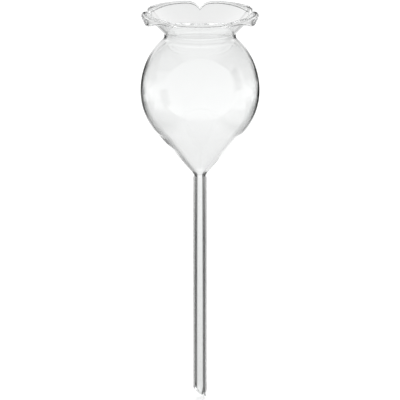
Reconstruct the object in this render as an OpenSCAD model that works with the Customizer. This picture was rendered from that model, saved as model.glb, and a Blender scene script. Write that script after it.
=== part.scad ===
/* [Feed stem] */
// Outer radius of the feed stem
stem_r = 4.5; // [3.5:0.1:6]
// Radius of the bore that lets the water down
bore_r = 2.55; // [1.5:0.05:2.9]
// Length of the stem, from its lowest point to the seal under the globe
stem_len = 156.5; // [90:0.5:220]
// Slant of the cut tip, from the horizontal
tip_slant = 38; // [20:1:55]
// Compass direction that the cut faces, 180 is to the left
tip_facing = 180; // [0:5:355]

/* [Reservoir globe] */
// Radius of the globe at its widest, outside
globe_r = 40; // [34:0.5:50]
// Height of the shoulder ellipse above the widest circle
shoulder_h = 45; // [38:0.5:55]
// Depth of the lower ellipse below the widest circle
belly_h = 41; // [36:0.5:46]
// Height of the widest circle above the seal
cone_h = 59; // [52:0.5:75]
// Wall of the globe
globe_wall = 1.2; // [0.8:0.1:1.8]
// Height of the outside fillet where the cone is drawn down onto the stem
seal_rise = 2; // [1:0.2:4]
// Height of the inside fillet where the funnel runs into the bore
funnel_rise = 3; // [1.5:0.2:5]

/* [Petal mouth] */
// Outer radius of the neck at its waist
neck_r = 24; // [19:0.5:28]
// Length of the straight neck between its two bends
neck_h = 1.6; // [0.8:0.1:6]
// Wall of the neck
neck_wall = 1.3; // [0.9:0.1:1.8]
// Outside radius of the bend from the shoulder into the neck
shoulder_bend = 3; // [1.5:0.1:5]
// Radius of the bend from the neck into the flare, on the middle of the glass
flare_bend = 2.5; // [1.5:0.1:5]
// Slope of the flare, from the horizontal
flare_angle = 45.5; // [35:0.5:55]
// Length of the straight flare below a petal's fold
flare_len = 17.2; // [11:0.2:22]
// How much shorter the flare is in the notch at the back
back_notch = 6.3; // [2:0.1:8]
// How much shorter the flare is in the notches at the sides
side_notch = 4.5; // [2:0.1:8]
// How much shorter the flare is in the notches at the front
front_notch = 3.6; // [2:0.1:8]
// How far round the rim each petal at the back goes
back_petal = 78; // [66:1:84]
// How far round the rim the petal at the front goes
front_petal = 60; // [50:1:76]
// Radius of the fold that turns a petal over, on the middle of the glass
fold_r = 1.4; // [1.2:0.1:3]
// How far the rim is turned over at the sides
side_turn = 165; // [120:5:180]
// How far the rim is turned over at the front and back
front_turn = 100; // [85:5:165]
// How far the rim is turned over in a notch
notch_turn = 85; // [45:5:110]
// Length of the turned lip past the fold, at the sides
side_lip = 5; // [3:0.2:9]
// Length of the turned lip past the fold, at the front and back
front_lip = 0.4; // [0.4:0.1:8]
// Length of the lip past the fold in a notch
notch_lip = 0.6; // [0.4:0.1:2]
// Wall of the glass at the fold
rim_wall = 1.5; // [1.1:0.1:2]
// Thickness of the fire-polished lip
lip_bead = 1.9; // [1.4:0.1:2.4]

/* [Hidden] */
$fn = 128;
glass = [0.86, 0.93, 0.92, 0.45];
// Compass direction and depth of each notch, once round from the back
notches = [
    [90, back_notch],
    [90 + back_petal, side_notch],
    [270 - front_petal / 2, front_notch],
    [270 + front_petal / 2, front_notch],
    [450 - back_petal, side_notch],
    [450, back_notch]
];
petals = len(notches) - 1;
// Steps along each stretch of a section, and round each petal
arc_steps = 12;
bend_steps = 3;
flare_steps = 4;
fold_steps = 6;
lip_steps = 3;
bead_steps = 5;
petal_steps = 26;
// Sharpness of the notches in the rim's height, in its turn and in its lip
crest_power = 7;
turn_power = 4;
hang_power = 2.4;
// Sharpness of the change from the front and back of the rim to its sides
side_power = 4;

seal_z = stem_len;
widest_z = seal_z + cone_h;

// Points on an arc round [x, y] from angle a to angle b
function arc(x, y, r, a, b, steps) =
    [for (i = [0 : steps]) let (t = a + (b - a) * i / steps) [x + r * cos(t), y + r * sin(t)]];

// The angle at which a line from [foot_r, z] touches the lower ellipse, both measured from its middle
function touch(r, h, foot_r, z) =
    let (x = foot_r / r, y = z / h) atan2(y, x) + acos(1 / norm([x, y]));

// Where the shoulder ellipse must stop for a bend of the given radius to end upright at the neck
function outward(r, h, t) = [cos(t) / r, sin(t) / h] / norm([cos(t) / r, sin(t) / h]);
function bend_r(r, h, bend, t) = r * cos(t) + bend * (outward(r, h, t)[0] - 1);
function stop(r, h, bend, neck, lo = 0, hi = 90, left = 40) =
    left == 0 ? lo : let (t = (lo + hi) / 2)
    bend_r(r, h, bend, t) > neck ? stop(r, h, bend, neck, t, hi, left - 1)
    : stop(r, h, bend, neck, lo, t, left - 1);

// One wall of the globe: fillet from the stem, cone, lower ellipse, shoulder ellipse, bend into the neck
function wall_line(r, lower_h, upper_h, foot_r, rise, bend, neck) =
    let (
        t = touch(r, lower_h, foot_r, seal_z + rise - widest_z),
        spread = atan2(r * cos(t) - foot_r, widest_z + lower_h * sin(t) - seal_z - rise),
        fillet = rise / tan(spread / 2),
        top = stop(r, upper_h, bend, neck),
        out = outward(r, upper_h, top),
        from = 180 + atan2(out[1], out[0])
    )
    concat(
        arc(foot_r + fillet, seal_z, fillet, 180, 180 - spread, arc_steps),
        [for (i = [0 : arc_steps]) let (a = t * (1 - i / arc_steps))
            [r * cos(a), widest_z + lower_h * sin(a)]],
        [for (i = [1 : arc_steps]) let (a = top * i / arc_steps)
            [r * cos(a), widest_z + upper_h * sin(a)]],
        [for (i = [1 : arc_steps]) let (a = from + (180 - from) * i / arc_steps)
            [r * cos(top) + bend * (out[0] + cos(a)),
                widest_z + upper_h * sin(top) + bend * (out[1] + sin(a))]]
    );

outer_wall = wall_line(globe_r, belly_h, shoulder_h, stem_r, seal_rise, shoulder_bend, neck_r);
inner_wall = wall_line(globe_r - globe_wall, belly_h - globe_wall, shoulder_h - globe_wall,
    bore_r, funnel_rise, shoulder_bend + neck_wall, neck_r - neck_wall);
neck_z = outer_wall[len(outer_wall) - 1][1];
seam_gap = 0.02;

function reversed(v) = [for (i = [len(v) - 1 : -1 : 0]) v[i]];
function fade(u, power) = 1 - pow(abs(u), power);

// One step along the middle of the glass: point, heading and thickness
function forward(s, run) = [s[0] + run * cos(s[2]), s[1] + run * sin(s[2]), s[2]];
function turned(s, r, by) = let (cx = s[0] + r * sin(s[2]), cy = s[1] - r * cos(s[2]), a = s[2] - by)
    [cx - r * sin(a), cy + r * cos(a), a];

// The middle line of the glass at u, which is 0 on a petal's middle and 1 or -1 in a notch
// depth is the notch's, and side is 1 at the sides of the rim and 0 at its front and back
function section(u, depth, side) =
    let (
        flare = flare_len - depth * (1 - fade(u, crest_power)),
        full_turn = front_turn + (side_turn - front_turn) * side,
        full_lip = front_lip + (side_lip - front_lip) * side,
        turn = notch_turn + (full_turn - notch_turn) * fade(u, turn_power),
        hang = notch_lip + (full_lip - notch_lip) * fade(u, hang_power),
        bend_by = 90 - flare_angle,
        foot = [neck_r - neck_wall / 2, neck_z, 90],
        bent = forward(foot, neck_h),
        flared = turned(bent, flare_bend, bend_by),
        folded = forward(flared, flare),
        over = turned(folded, fold_r, turn)
    )
    concat(
        [concat(foot, neck_wall)],
        [for (i = [0 : bend_steps]) concat(turned(bent, flare_bend, bend_by * i / bend_steps), neck_wall)],
        [for (i = [1 : flare_steps]) concat(forward(flared, flare * i / flare_steps),
            neck_wall + (rim_wall - neck_wall) * i / flare_steps)],
        [for (i = [1 : fold_steps]) concat(turned(folded, fold_r, turn * i / fold_steps), rim_wall)],
        [for (i = [1 : lip_steps]) concat(forward(over, hang * i / lip_steps),
            rim_wall + (lip_bead - rim_wall) * i / lip_steps)]
    );

// The closed outline of the same glass: up the inside, round the lip and down the outside
function outline(u, depth, side) =
    let (mid = section(u, depth, side), tip = mid[len(mid) - 1])
    concat(
        [for (s = mid) [s[0] - s[3] / 2 * sin(s[2]), s[1] + s[3] / 2 * cos(s[2])]],
        [for (i = [1 : bead_steps]) let (a = tip[2] + 90 - 180 * i / (bead_steps + 1))
            [tip[0] + tip[3] / 2 * cos(a), tip[1] + tip[3] / 2 * sin(a)]],
        reversed([for (s = mid) [s[0] + s[3] / 2 * sin(s[2]), s[1] - s[3] / 2 * cos(s[2])]])
    );

// The flower mouth: one outline at each step round the rim, joined into a closed skin
module petal_mouth() {
    rows = [for (k = [0 : petals - 1]) for (i = [0 : petal_steps - 1])
        let (
            from = notches[k],
            to = notches[k + 1],
            u = 2 * i / petal_steps - 1,
            a = from[0] + (to[0] - from[0]) * i / petal_steps,
            depth = u < 0 ? from[1] : to[1]
        )
        [for (p = outline(u, depth, pow(abs(cos(a)), side_power)))
            [p[0] * cos(a), p[0] * sin(a), p[1]]]];
    around = len(rows);
    count = len(rows[0]);
    points = [for (row = rows) for (p = row) p];
    faces = [for (i = [0 : around - 1]) for (j = [0 : count - 1])
        let (a = i * count + j, b = i * count + (j + 1) % count,
            c = ((i + 1) % around) * count + (j + 1) % count, d = ((i + 1) % around) * count + j)
        each [[a, c, b], [a, d, c]]];
    color(glass) polyhedron(points, faces);
}

// The blown globe, open at the neck and drawn down to the stem's bore
module reservoir_globe() {
    below_neck = [for (p = inner_wall) if (p[1] < neck_z - seam_gap) p];
    color(glass) rotate_extrude()
        polygon(concat(outer_wall, [[neck_r - neck_wall, neck_z]], reversed(below_neck)));
}

// The thick tube that is pushed into the soil, cut on a slant at its tip
module feed_stem() {
    cut = 4 * stem_r;
    color(glass) difference() {
        cylinder(r = stem_r, h = seal_z);
        translate([0, 0, -1]) cylinder(r = bore_r, h = seal_z + 2);
        rotate([0, 0, tip_facing]) translate([-stem_r, 0, 0]) rotate([0, -tip_slant, 0])
            translate([-cut, -cut, -cut]) cube([3 * cut, 2 * cut, cut]);
    }
}

petal_mouth();
reservoir_globe();
feed_stem();
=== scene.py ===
import bpy
import math
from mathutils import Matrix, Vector


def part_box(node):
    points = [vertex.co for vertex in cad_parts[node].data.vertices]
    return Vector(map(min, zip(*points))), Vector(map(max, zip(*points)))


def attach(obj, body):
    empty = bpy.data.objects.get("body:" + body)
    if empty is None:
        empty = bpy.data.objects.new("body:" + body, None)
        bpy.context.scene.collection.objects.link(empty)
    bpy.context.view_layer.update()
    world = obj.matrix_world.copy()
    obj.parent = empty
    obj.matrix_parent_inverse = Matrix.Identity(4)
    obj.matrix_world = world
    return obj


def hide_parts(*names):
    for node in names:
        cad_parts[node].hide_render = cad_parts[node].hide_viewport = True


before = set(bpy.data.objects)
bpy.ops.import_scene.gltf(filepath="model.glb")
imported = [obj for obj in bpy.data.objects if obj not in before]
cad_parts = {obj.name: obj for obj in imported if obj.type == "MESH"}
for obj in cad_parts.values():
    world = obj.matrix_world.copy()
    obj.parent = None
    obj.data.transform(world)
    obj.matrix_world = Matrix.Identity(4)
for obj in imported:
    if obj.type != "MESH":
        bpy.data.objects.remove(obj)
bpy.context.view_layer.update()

mm = 0.001  # the sizes of the glass are in millimetres, and those of the studio in metres
around = 240  # points round every ring, so that the rings of two pieces meet point to point


class Field:  # a socket that can be added, multiplied and so on like a number
    def __init__(self, graph, socket):
        self.graph, self.socket = graph, socket

    def combine(self, operation, first, second):
        return self.graph.node("ShaderNodeMath", {"operation": operation}, {0: first, 1: second})

    def __add__(self, other):
        return self.combine("ADD", self, other)

    def __radd__(self, other):
        return self.combine("ADD", other, self)

    def __sub__(self, other):
        return self.combine("SUBTRACT", self, other)

    def __rsub__(self, other):
        return self.combine("SUBTRACT", other, self)

    def __mul__(self, other):
        return self.combine("MULTIPLY", self, other)

    def __rmul__(self, other):
        return self.combine("MULTIPLY", other, self)

    def __truediv__(self, other):
        return self.combine("DIVIDE", self, other)

    def __rtruediv__(self, other):
        return self.combine("DIVIDE", other, self)


class Graph:  # the nodes of one material, or of the world
    def __init__(self, owner):
        owner.use_nodes = True
        self.tree = owner.node_tree
        self.tree.nodes.clear()

    def node(self, kind, settings=None, sockets=None, output=0):
        made = self.tree.nodes.new(kind)
        for name, value in (settings or {}).items():
            if name == "stops":
                self.fillRamp(made.color_ramp, value)
            else:
                setattr(made, name, value)
        for name, value in (sockets or {}).items():
            if isinstance(value, Field):
                self.tree.links.new(value.socket, made.inputs[name])
            else:
                made.inputs[name].default_value = value
        return Field(self, made.outputs[output]) if len(made.outputs) else made

    def fillRamp(self, ramp, stops):
        ramp.interpolation = "LINEAR"
        while len(ramp.elements) > len(stops):
            ramp.elements.remove(ramp.elements[-1])
        while len(ramp.elements) < len(stops):
            ramp.elements.new(1.0)
        for element, (place, level) in zip(ramp.elements, stops):
            element.position = place
            element.color = (level, level, level, 1.0)

    def finish(self, kind, surface):
        self.node(kind, None, {"Surface": surface})


def glassMaterial(name, look):
    # clear glass: faint body tint, slow waves in the wall and fine drawn streaks along it
    material = bpy.data.materials.new(name)
    graph = Graph(material)
    place = graph.node("ShaderNodeTexCoord", None, None, "Object")
    stretched = graph.node("ShaderNodeMapping", None, {"Vector": place, "Scale": look["streakScale"]})
    waves = graph.node("ShaderNodeTexNoise", None, {
        "Vector": place, "Scale": look["waveScale"], "Detail": 1.0})
    streaks = graph.node("ShaderNodeTexNoise", None, {
        "Vector": stretched, "Scale": look["streakFineness"], "Detail": 2.0})
    height = waves * look["waveDepth"] + streaks * look["streakDepth"]
    bumped = graph.node("ShaderNodeBump", None, {
        "Height": height, "Strength": 1.0, "Distance": 1.0})
    # a Mix node has its factor at 0, its two colours at 6 and 7 and its mixed colour at output 2
    tint = graph.node("ShaderNodeMix", {"data_type": "RGBA"}, {
        0: waves, 6: look["tint"], 7: look["tintDeep"]}, 2)
    rough = streaks * look["roughSpread"] + look["rough"]
    glass = graph.node("ShaderNodeBsdfPrincipled", None, {
        "Base Color": tint,
        "Roughness": rough,
        "IOR": look["ior"],
        "Transmission Weight": 1.0,
        "Normal": bumped,
    })
    graph.finish("ShaderNodeOutputMaterial", glass)
    return material


def add(name, data):
    thing = bpy.data.objects.new(name, data)
    bpy.context.scene.collection.objects.link(thing)
    return thing


def skin(name, sheets, material, node):
    # each sheet is a run of rings: the outside goes up and the inside comes down
    points, faces = [], []
    for rings in sheets:
        base = len(points)
        for ring in rings:
            points += [Vector(p) * mm for p in ring]
        for i in range(len(rings) - 1):
            for j in range(around):
                a = base + i * around + j
                b = base + i * around + (j + 1) % around
                faces.append((a, b, b + around, a + around))
    mesh = bpy.data.meshes.new(name)
    mesh.from_pydata(points, [], faces)
    mesh.shade_smooth()
    mesh.materials.append(material)
    piece = add(name, mesh)
    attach(piece, "root")
    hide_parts(node)
    print(name, "built,", len(faces), "faces")


def turn(profile):
    # a ring of points for each [radius, height] of a profile
    angles = [2 * math.pi * j / around for j in range(around)]
    return [[(r * math.cos(a), r * math.sin(a), z) for a in angles] for r, z in profile]


def arc(x, y, r, start, end, steps):
    angles = [math.radians(start + (end - start) * i / steps) for i in range(steps + 1)]
    return [(x + r * math.cos(a), y + r * math.sin(a)) for a in angles]


# Reservoir globe
globe = {
    "shoulderHeight": 45,
    "bellyDepth": 41,
    "coneHeight": 59,  # from the seal up to the widest circle
    "wall": 1.2,
    "sealRise": 2,
    "funnelRise": 3,
    "neckRadius": 24,
    "neckWall": 1.3,
    "shoulderBend": 3,
    "steps": 48,  # along each stretch of the wall
    "bendSteps": 12,
}
stem = {
    "boreRadius": 2.55,
    "slant": 38,
    "facing": 180,  # the cut looks to the left
    "polish": 0.45,  # radius of the fire-polished edges of the tip
    "polishSteps": 6,
    "steps": 24,
}

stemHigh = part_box("feed_stem")[1]
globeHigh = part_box("reservoir_globe")[1]
stemRadius = stemHigh[0] / mm
sealHeight = stemHigh[2] / mm
boxInset = 0.001  # keeps the widest circle just inside the CAD box
globeRadius = globeHigh[0] / mm - boxInset
widestHeight = sealHeight + globe["coneHeight"]
halvings = 40  # of the search for the end of the shoulder
seamGap = 0.02  # points of the inner wall nearer than this to the neck's end are left out


def shoulderStop(r, h, bend, neck):
    # where the shoulder ellipse gives way to a bend that ends upright at the neck
    low, high = 0.0, 90.0
    for _ in range(halvings):
        t = math.radians((low + high) / 2)
        x, y = math.cos(t) / r, math.sin(t) / h
        reach = r * math.cos(t) + bend * (x / math.hypot(x, y) - 1)
        low, high = ((low + high) / 2, high) if reach > neck else (low, (low + high) / 2)
    return low


def ellipse(r, h, angles):
    return [(r * math.cos(math.radians(a)), widestHeight + h * math.sin(math.radians(a))) for a in angles]


def wallLine(r, lowerH, upperH, footRadius, rise, bend, neck):
    # fillet from the stem, cone, lower ellipse, shoulder ellipse and the bend into the neck
    steps = globe["steps"]
    x, y = footRadius / r, (sealHeight + rise - widestHeight) / lowerH
    touch = math.degrees(math.atan2(y, x) + math.acos(1 / math.hypot(x, y)))
    t = math.radians(touch)
    spread = math.degrees(math.atan2(r * math.cos(t) - footRadius,
                                     widestHeight + lowerH * math.sin(t) - sealHeight - rise))
    fillet = rise / math.tan(math.radians(spread / 2))
    top = shoulderStop(r, upperH, bend, neck)
    s = math.radians(top)
    ox, oy = math.cos(s) / r, math.sin(s) / upperH
    ox, oy = ox / math.hypot(ox, oy), oy / math.hypot(ox, oy)
    start = 180 + math.degrees(math.atan2(oy, ox))
    foot = arc(footRadius + fillet, sealHeight, fillet, 180, 180 - spread, globe["bendSteps"])
    belly = ellipse(r, lowerH, [touch * (1 - i / steps) for i in range(steps + 1)])
    (footX, footY), (bellyX, bellyY) = foot[-1], belly[0]
    cone = [(footX + (bellyX - footX) * i / steps, footY + (bellyY - footY) * i / steps)
            for i in range(1, steps)]
    shoulder = ellipse(r, upperH, [top * i / steps for i in range(1, steps + 1)])
    neckBend = arc(shoulder[-1][0] + bend * ox, shoulder[-1][1] + bend * oy,
                   bend, start, 180, globe["bendSteps"])[1:]
    return foot + cone + belly + shoulder + neckBend


outerWall = wallLine(globeRadius, globe["bellyDepth"], globe["shoulderHeight"], stemRadius,
                     globe["sealRise"], globe["shoulderBend"], globe["neckRadius"])
innerNeck = globe["neckRadius"] - globe["neckWall"]
innerWall = wallLine(globeRadius - globe["wall"], globe["bellyDepth"] - globe["wall"],
                     globe["shoulderHeight"] - globe["wall"], stem["boreRadius"], globe["funnelRise"],
                     globe["shoulderBend"] + globe["neckWall"], innerNeck)
neckZ = outerWall[-1][1]
innerWall = [p for p in innerWall if p[1] < neckZ - seamGap] + [(innerNeck, neckZ)]

blownLook = {  # of the globe and the mouth
    "tint": (0.985, 0.99, 0.988, 1),
    "tintDeep": (0.962, 0.968, 0.966, 1),
    "rough": 0.0,
    "roughSpread": 0.01,
    "ior": 1.48,
    "waveScale": 60.0,
    "waveDepth": 0.00004,
    "streakScale": (1.0, 1.0, 0.12),
    "streakFineness": 400.0,
    "streakDepth": 0.0000015,
}

globeGlass = glassMaterial("blownGlass", blownLook)
skin("reservoirGlobe", [turn(outerWall), turn(innerWall[::-1])], globeGlass,
     "reservoir_globe")


# Feed stem
def tipRings():
    # over the slanted end from the bore to the outside, with both edges rounded
    e, steps, bore = stem["polish"], stem["polishSteps"], stem["boreRadius"]
    quarter = [math.radians(90 * i / steps) for i in range(steps + 1)]
    path = [(bore + e - e * math.cos(t), e - e * math.sin(t)) for t in quarter]
    path += [(stemRadius - e + e * math.sin(t), e - e * math.cos(t)) for t in quarter]
    return [[tipPoint(r, lift, 2 * math.pi * j / around) for j in range(around)] for r, lift in path]


def tipPoint(r, lift, a):
    towards = math.cos(a - math.radians(stem["facing"]))
    height = (stemRadius + r * towards) * math.tan(math.radians(stem["slant"]))
    return (r * math.cos(a), r * math.sin(a), height + lift)


tip = tipRings()


def shaftRings(ring):
    # straight up from a ring of the tip to the seal
    steps = stem["steps"]
    return [[(x, y, z + (sealHeight - z) * i / steps) for x, y, z in ring] for i in range(steps + 1)]


boreRings = shaftRings(tip[0])
outerRings = shaftRings(tip[-1])
stemLook = {
    "tint": (0.985, 0.99, 0.988, 1),
    "tintDeep": (0.952, 0.96, 0.957, 1),
    "rough": 0.0,
    "roughSpread": 0.004,
    "ior": 1.48,
    "waveScale": 40.0,
    "waveDepth": 0.000004,
    "streakScale": (1.0, 1.0, 0.04),
    "streakFineness": 500.0,
    "streakDepth": 0.0000003,
}
stemGlass = glassMaterial("drawnGlass", stemLook)
skin("feedStem", [boreRings[::-1] + tip[1:-1] + outerRings], stemGlass, "feed_stem")


# Petal mouth
mouth = {
    "neckHeight": 1.6,
    "flareBend": 2.5,
    "flareAngle": 45.5,
    "flareLength": 17.15,  # 0.05 less than the CAD's
    "foldRadius": 1.4,
    "sideTurn": 165,  # how far the rim is turned over at the sides
    "frontTurn": 100,  # and at the front and back
    "notchTurn": 85,
    "sideLip": 5,
    "frontLip": 0.4,
    "notchLip": 0.6,
    "rimWall": 1.5,
    "lipBead": 1.9,
    "crestPower": 7,  # sharpness of the notches in the rim's height
    "turnPower": 4,  # in its turn
    "hangPower": 2.4,  # in its lip
    "sidePower": 4,  # and of the change from the front and back to the sides
    "bendSteps": 8,
    "flareSteps": 8,
    "foldSteps": 18,
    "lipSteps": 6,
    "beadSteps": 9,
}
# compass direction of each notch, once round from the back, and how much shorter the flare is there
notches = [(90, 6.3), (168, 4.5), (240, 3.6), (300, 3.6), (372, 4.5), (450, 6.3)]


# a step along the middle of the glass is its distance from the axis, its height and its heading
def forward(s, run):
    a = math.radians(s[2])
    return (s[0] + run * math.cos(a), s[1] + run * math.sin(a), s[2])


def turned(s, r, by):
    a, b = math.radians(s[2]), math.radians(s[2] - by)
    cx, cy = s[0] + r * math.sin(a), s[1] - r * math.cos(a)
    return (cx - r * math.sin(b), cy + r * math.cos(b), s[2] - by)


def section(u, depth, sideways):
    # the middle of the glass at u, which is 0 on a petal's middle and 1 or -1 in a notch
    # sideways is 1 at the sides of the rim and 0 at its front and back
    m = mouth
    crest, turnOver, drop = (1 - abs(u) ** m[p] for p in ("crestPower", "turnPower", "hangPower"))
    flare = m["flareLength"] - depth * (1 - crest)
    fullTurn = m["frontTurn"] + (m["sideTurn"] - m["frontTurn"]) * sideways
    fullLip = m["frontLip"] + (m["sideLip"] - m["frontLip"]) * sideways
    turnBy = m["notchTurn"] + (fullTurn - m["notchTurn"]) * turnOver
    hang = m["notchLip"] + (fullLip - m["notchLip"]) * drop
    wall, rim = globe["neckWall"], m["rimWall"]
    foot = (globe["neckRadius"] - wall / 2, neckZ, 90)
    bent = forward(foot, m["neckHeight"])
    bendBy = 90 - m["flareAngle"]
    flared = turned(bent, m["flareBend"], bendBy)
    folded = forward(flared, flare)
    over = turned(folded, m["foldRadius"], turnBy)
    line = [(*foot, wall)]
    line += [(*turned(bent, m["flareBend"], bendBy * i / m["bendSteps"]), wall)
             for i in range(m["bendSteps"] + 1)]
    line += [(*forward(flared, flare * i / m["flareSteps"]), wall + (rim - wall) * i / m["flareSteps"])
             for i in range(1, m["flareSteps"] + 1)]
    line += [(*turned(folded, m["foldRadius"], turnBy * i / m["foldSteps"]), rim)
             for i in range(1, m["foldSteps"] + 1)]
    line += [(*forward(over, hang * i / m["lipSteps"]), rim + (m["lipBead"] - rim) * i / m["lipSteps"])
             for i in range(1, m["lipSteps"] + 1)]
    return line


def offset(s, by):
    a = math.radians(s[2])
    return (s[0] + by * math.sin(a), s[1] - by * math.cos(a))


def outline(u, depth, sideways):
    # up the outside, round the lip and down the inside
    line = section(u, depth, sideways)
    x, z, heading, bead = line[-1]
    steps = mouth["beadSteps"]
    outside = [offset(s, s[3] / 2) for s in line]
    inside = [offset(s, -s[3] / 2) for s in line]
    cap = arc(x, z, bead / 2, heading - 90, heading + 90, steps + 1)[1:-1]
    return outside + cap + inside[::-1]


def mouthRings():
    columns = []
    for j in range(around):
        a = notches[0][0] + 360 * j / around
        k = max(i for i in range(len(notches) - 1) if notches[i][0] <= a)
        (start, startDepth), (end, endDepth) = notches[k:k + 2]
        u = 2 * (a - start) / (end - start) - 1
        sideways = abs(math.cos(math.radians(a))) ** mouth["sidePower"]
        spin = math.radians(a)
        columns.append([(r * math.cos(spin), r * math.sin(spin), z)
                        for r, z in outline(u, startDepth if u < 0 else endDepth, sideways)])
    quarter = around // 4
    columns = columns[-quarter:] + columns[:-quarter]  # the first column lies to the right, as in turn()
    return [list(ring) for ring in zip(*columns)]


mouthGlass = glassMaterial("pressedGlass", blownLook)
skin("petalMouth", [mouthRings()], mouthGlass, "petal_mouth")

# Camera
view = {
    "distance": 2400,
    "elevation": 14.991,
    "targetHeight": 139.8,
    "focal": 3557.5,  # in pixels of the photograph
    "frame": 400,  # width of the photograph in its pixels
    "sensor": 36,
}
tilt = math.radians(view["elevation"])
target = Vector((0, 0, view["targetHeight"])) * mm
cameraData = bpy.data.cameras.new("camera")
cameraData.sensor_width = view["sensor"]
cameraData.lens = view["focal"] / view["frame"] * view["sensor"]
camera = add("camera", cameraData)
camera.location = target + Vector((0, -math.cos(tilt), math.sin(tilt))) * view["distance"] * mm
camera.rotation_euler = (math.pi / 2 - tilt, 0, 0)
bpy.context.scene.camera = camera
bpy.context.scene.view_settings.view_transform = "Standard"
print("camera set")

# Studio
studio = {
    "floorSize": 12.0,
    "floorColour": (0.82, 0.82, 0.82, 1),
    "floorGlow": 0.45,
    "ambient": 0.55,
    "lampSize": 1.4,
    "lampPower": 16.0,
    "lampPlace": (0.0, 0.7, 1.7),
}
# what the clear glass bends and mirrors in a bright room: pale and dark glowing sheets of painted light
# and painted shade, turned with the camera
# shades go from left to right as (x, level), and fade dims them evenly from the first edge to the second
farShades = [
    (-0.85, 0.75), (-0.7, 0.0), (-0.3, 0.0), (-0.24, 0.4), (-0.18, 0.72), (-0.1, 0.97), (0.13, 1.0),
    (0.19, 0.4), (0.21, 0.0), (0.48, 0.0), (0.75, 1.0)]
tableGlowSheets = {  # flat, each from its near edge to its far edge
    "underGlowSheet": {"edges": (-0.2, 0.12), "shades": [
        (-0.55, 0.9), (-0.34, 0.0), (-0.2, 0.0), (-0.1, 0.95), (0.12, 0.95), (0.18, 0.3), (0.25, 0.6),
        (0.4, 0.4), (0.5, 1.0)]},
    "nearGlowSheet": {"edges": (0.12, 0.36), "shades": [
        (-0.85, 0.9), (-0.6, 0.1), (-0.15, 0.08), (-0.08, 0.5), (0.1, 0.85), (0.16, 0.1), (0.6, 0.05),
        (0.75, 0.65)]},
    "middleGlowSheet": {"edges": (0.36, 0.68), "fade": (0.68, 0.88), "shades": [
        (-0.62, 1.0), (-0.45, 0.0), (-0.24, 0.0), (-0.17, 0.85), (-0.06, 1.0), (0.14, 1.0), (0.2, 0.1),
        (0.25, 0.0), (0.45, 0.1), (0.6, 1.0)]},
    "farGlowSheet": {"edges": (0.68, 0.8), "fade": (0.88, 1.0), "shades": farShades},
    "backGlowSheet": {"edges": (0.8, 1.3), "fade": (1.0, 0.75), "shades": farShades},
}
wallGlowSheets = {  # upright behind the object, each from its foot to its top
    "wallFoot": {"edges": (0.0, 0.12), "fade": (0.75, 1.0), "shades": [
        (-0.8, 0.35), (-0.55, 0.0), (-0.32, 0.08), (-0.25, 0.95), (-0.12, 1.0), (0.12, 1.0), (0.24, 0.9),
        (0.27, 0.0), (0.7, 0.0), (0.85, 0.5)]},
    "wallLow": {"edges": (0.12, 0.28), "shades": [
        (-0.6, 0.2), (-0.32, 1.0), (-0.2, 0.5), (-0.12, 0.4), (-0.05, 1.0), (0.05, 1.0), (0.12, 0.5),
        (0.2, 0.5), (0.32, 1.0), (0.5, 0.15), (0.8, 0.8)]},
    "wallMiddle": {"edges": (0.28, 0.56), "shades": [
        (-0.8, 1.0), (-0.5, 0.84), (-0.32, 0.4), (-0.2, 0.0), (-0.12, 0.0), (-0.04, 0.1), (0.04, 0.15),
        (0.1, 0.0), (0.2, 0.1), (0.32, 0.34), (0.5, 0.6), (0.8, 1.0)]},
    "wallHigh": {"edges": (0.56, 0.8), "shades": [
        (-0.8, 0.8), (-0.3, 1.0), (-0.12, 0.9), (-0.06, 0.0), (0.04, 0.0), (0.1, 0.6), (0.2, 0.15),
        (0.35, 0.5), (0.8, 0.9)]},
    "wallTop": {"edges": (0.8, 1.2), "shades": [
        (-0.8, 0.1), (-0.5, 0.75), (-0.3, 0.45), (-0.22, 0.0), (0.22, 0.0), (0.32, 0.77), (0.5, 1.0),
        (0.8, 0.4)]},
}
sideGlowSheets = {  # upright and parallel to the line of sight, shaded from near to far
    "sideGlowSheet": {"x": 1.0, "edges": (0.2, 0.7), "shades": [
        (-0.4, 1.0), (-0.25, 0.05), (-0.1, 0.05), (0.05, 1.0)]},
}
sheetReach = 1.0  # half-width of the table's and the wall's glowing sheets of painted light and shade, and the span of every list of shades
tableLevel = -0.001  # of the table's glowing sheets, as written
wallAway = 1.3  # from the object back to the wall
# all the glowing sheets of painted light and shade are this much farther off and larger than written,
# seen from this height in the globe
sheetScale = 3
sheetEye = 0.2
glassBounces = 128  # clear glass passes light on many times inside its walls


def plane(name, corners, material):
    mesh = bpy.data.meshes.new(name)
    mesh.from_pydata(corners, [], [(0, 1, 2, 3)])
    mesh.materials.append(material)
    sheet = add(name, mesh)
    return sheet


def floorMaterial():
    material = bpy.data.materials.new("paleFloor")
    graph = Graph(material)
    seen = graph.node("ShaderNodeLightPath", None, None, "Is Camera Ray")
    matt = graph.node("ShaderNodeBsdfDiffuse", None, {"Color": studio["floorColour"]})
    glow = graph.node("ShaderNodeEmission", None, {
        "Color": (1, 1, 1, 1), "Strength": seen * studio["floorGlow"]})
    graph.finish("ShaderNodeOutputMaterial", graph.node("ShaderNodeAddShader", None, {0: matt, 1: glow}))
    return material


def worldLight():
    # white for the camera and for the glass, soft light for matt surfaces
    world = bpy.data.worlds.new("studioAir")
    bpy.context.scene.world = world
    graph = Graph(world)
    seen, passed, mirrored = (graph.node("ShaderNodeLightPath", None, None, "Is %s Ray" % kind)
                              for kind in ("Camera", "Transmission", "Glossy"))
    level = studio["ambient"] + (1 - studio["ambient"]) * (seen + passed + mirrored)
    graph.finish("ShaderNodeOutputWorld", graph.node("ShaderNodeBackground", None, {
        "Color": (1, 1, 1, 1), "Strength": level}))


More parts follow.
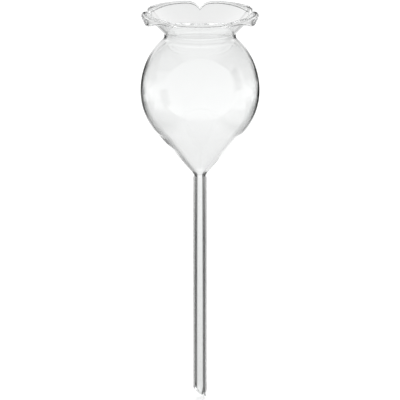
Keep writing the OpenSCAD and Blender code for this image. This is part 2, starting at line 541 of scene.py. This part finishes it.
def glowSheetMaterial(name, glowSheet, across, along):
    # glowing sheet of painted light and painted shade: shaded across by its list, and evenly from one
    # edge to the other by its fade
    material = bpy.data.materials.new(name)
    graph = Graph(material)
    place = graph.node("ShaderNodeTexCoord", None, None, "Object")
    over = graph.node("ShaderNodeSeparateXYZ", None, {"Vector": place}, across)
    up = graph.node("ShaderNodeSeparateXYZ", None, {"Vector": place}, along)
    span = 2 * sheetReach
    stops = [((x + sheetReach) / span, level) for x, level in glowSheet["shades"]]
    # the painted level of glow across the sheet, which stands in for the room's light and shade in the
    # glass
    paintedLevel = graph.node("ShaderNodeValToRGB", {"stops": stops}, {"Fac": (over + sheetReach) / span})
    start, end = glowSheet["edges"]
    first, last = glowSheet.get("fade", (1.0, 1.0))
    fade = first + (last - first) / (end - start) * (up - start)
    shade = graph.node("ShaderNodeVectorMath", {"operation": "SCALE"}, {0: paintedLevel, "Scale": fade})
    graph.finish("ShaderNodeOutputMaterial", graph.node("ShaderNodeEmission", None, {
        "Color": shade, "Strength": 1.0}))
    return material


def tableCorners(near, far):
    return [(-sheetReach, near, tableLevel), (sheetReach, near, tableLevel),
            (sheetReach, far, tableLevel), (-sheetReach, far, tableLevel)]


def wallCorners(foot, top):
    return [(-sheetReach, wallAway, foot), (sheetReach, wallAway, foot),
            (sheetReach, wallAway, top), (-sheetReach, wallAway, top)]


def sideCorners(glowSheet):
    x, (foot, top) = glowSheet["x"], glowSheet["edges"]
    near, far = glowSheet["shades"][0][0], glowSheet["shades"][-1][0]
    return [(x, near, foot), (x, far, foot), (x, far, top), (x, near, top)]


half = studio["floorSize"] / 2
floorCorners = [(-half, -half, 0), (half, -half, 0), (half, half, 0), (-half, half, 0)]
floor = plane("floor", floorCorners, floorMaterial())
floor.visible_transmission = floor.visible_glossy = False
worldLight()
lampData = bpy.data.lights.new("softbox", "AREA")
lampData.shape = "DISK"
lampData.size = studio["lampSize"]
lampData.energy = studio["lampPower"]
lamp = add("softbox", lampData)
lamp.location = studio["lampPlace"]
lamp.rotation_euler = (target - lamp.location).to_track_quat("-Z", "Y").to_euler()
lamp.visible_glossy = lamp.visible_transmission = False

# the glowing sheets paint the light and shade that the glass bends and mirrors; only the glass sees them,
# and they turn with the camera
stand = add("glowSheetStand", None)
stand.location = (0, 0, sheetEye * (1 - sheetScale))
stand.scale = (sheetScale, sheetScale, sheetScale)
follow = stand.constraints.new("COPY_ROTATION")
follow.target = camera
follow.use_x = follow.use_y = False
glowSheets = [plane(name, tableCorners(*glowSheet["edges"]), glowSheetMaterial(name, glowSheet, "X", "Y"))
          for name, glowSheet in tableGlowSheets.items()]
glowSheets += [plane(name, wallCorners(*glowSheet["edges"]), glowSheetMaterial(name, glowSheet, "X", "Z"))
           for name, glowSheet in wallGlowSheets.items()]
glowSheets += [plane(name, sideCorners(glowSheet), glowSheetMaterial(name, glowSheet, "Y", "Z"))
           for name, glowSheet in sideGlowSheets.items()]
for glowSheet in glowSheets:
    glowSheet.parent = stand
    glowSheet.visible_camera = glowSheet.visible_diffuse = glowSheet.visible_shadow = False

paths = bpy.context.scene.cycles
paths.max_bounces = paths.transmission_bounces = paths.glossy_bounces = glassBounces
print("studio set")
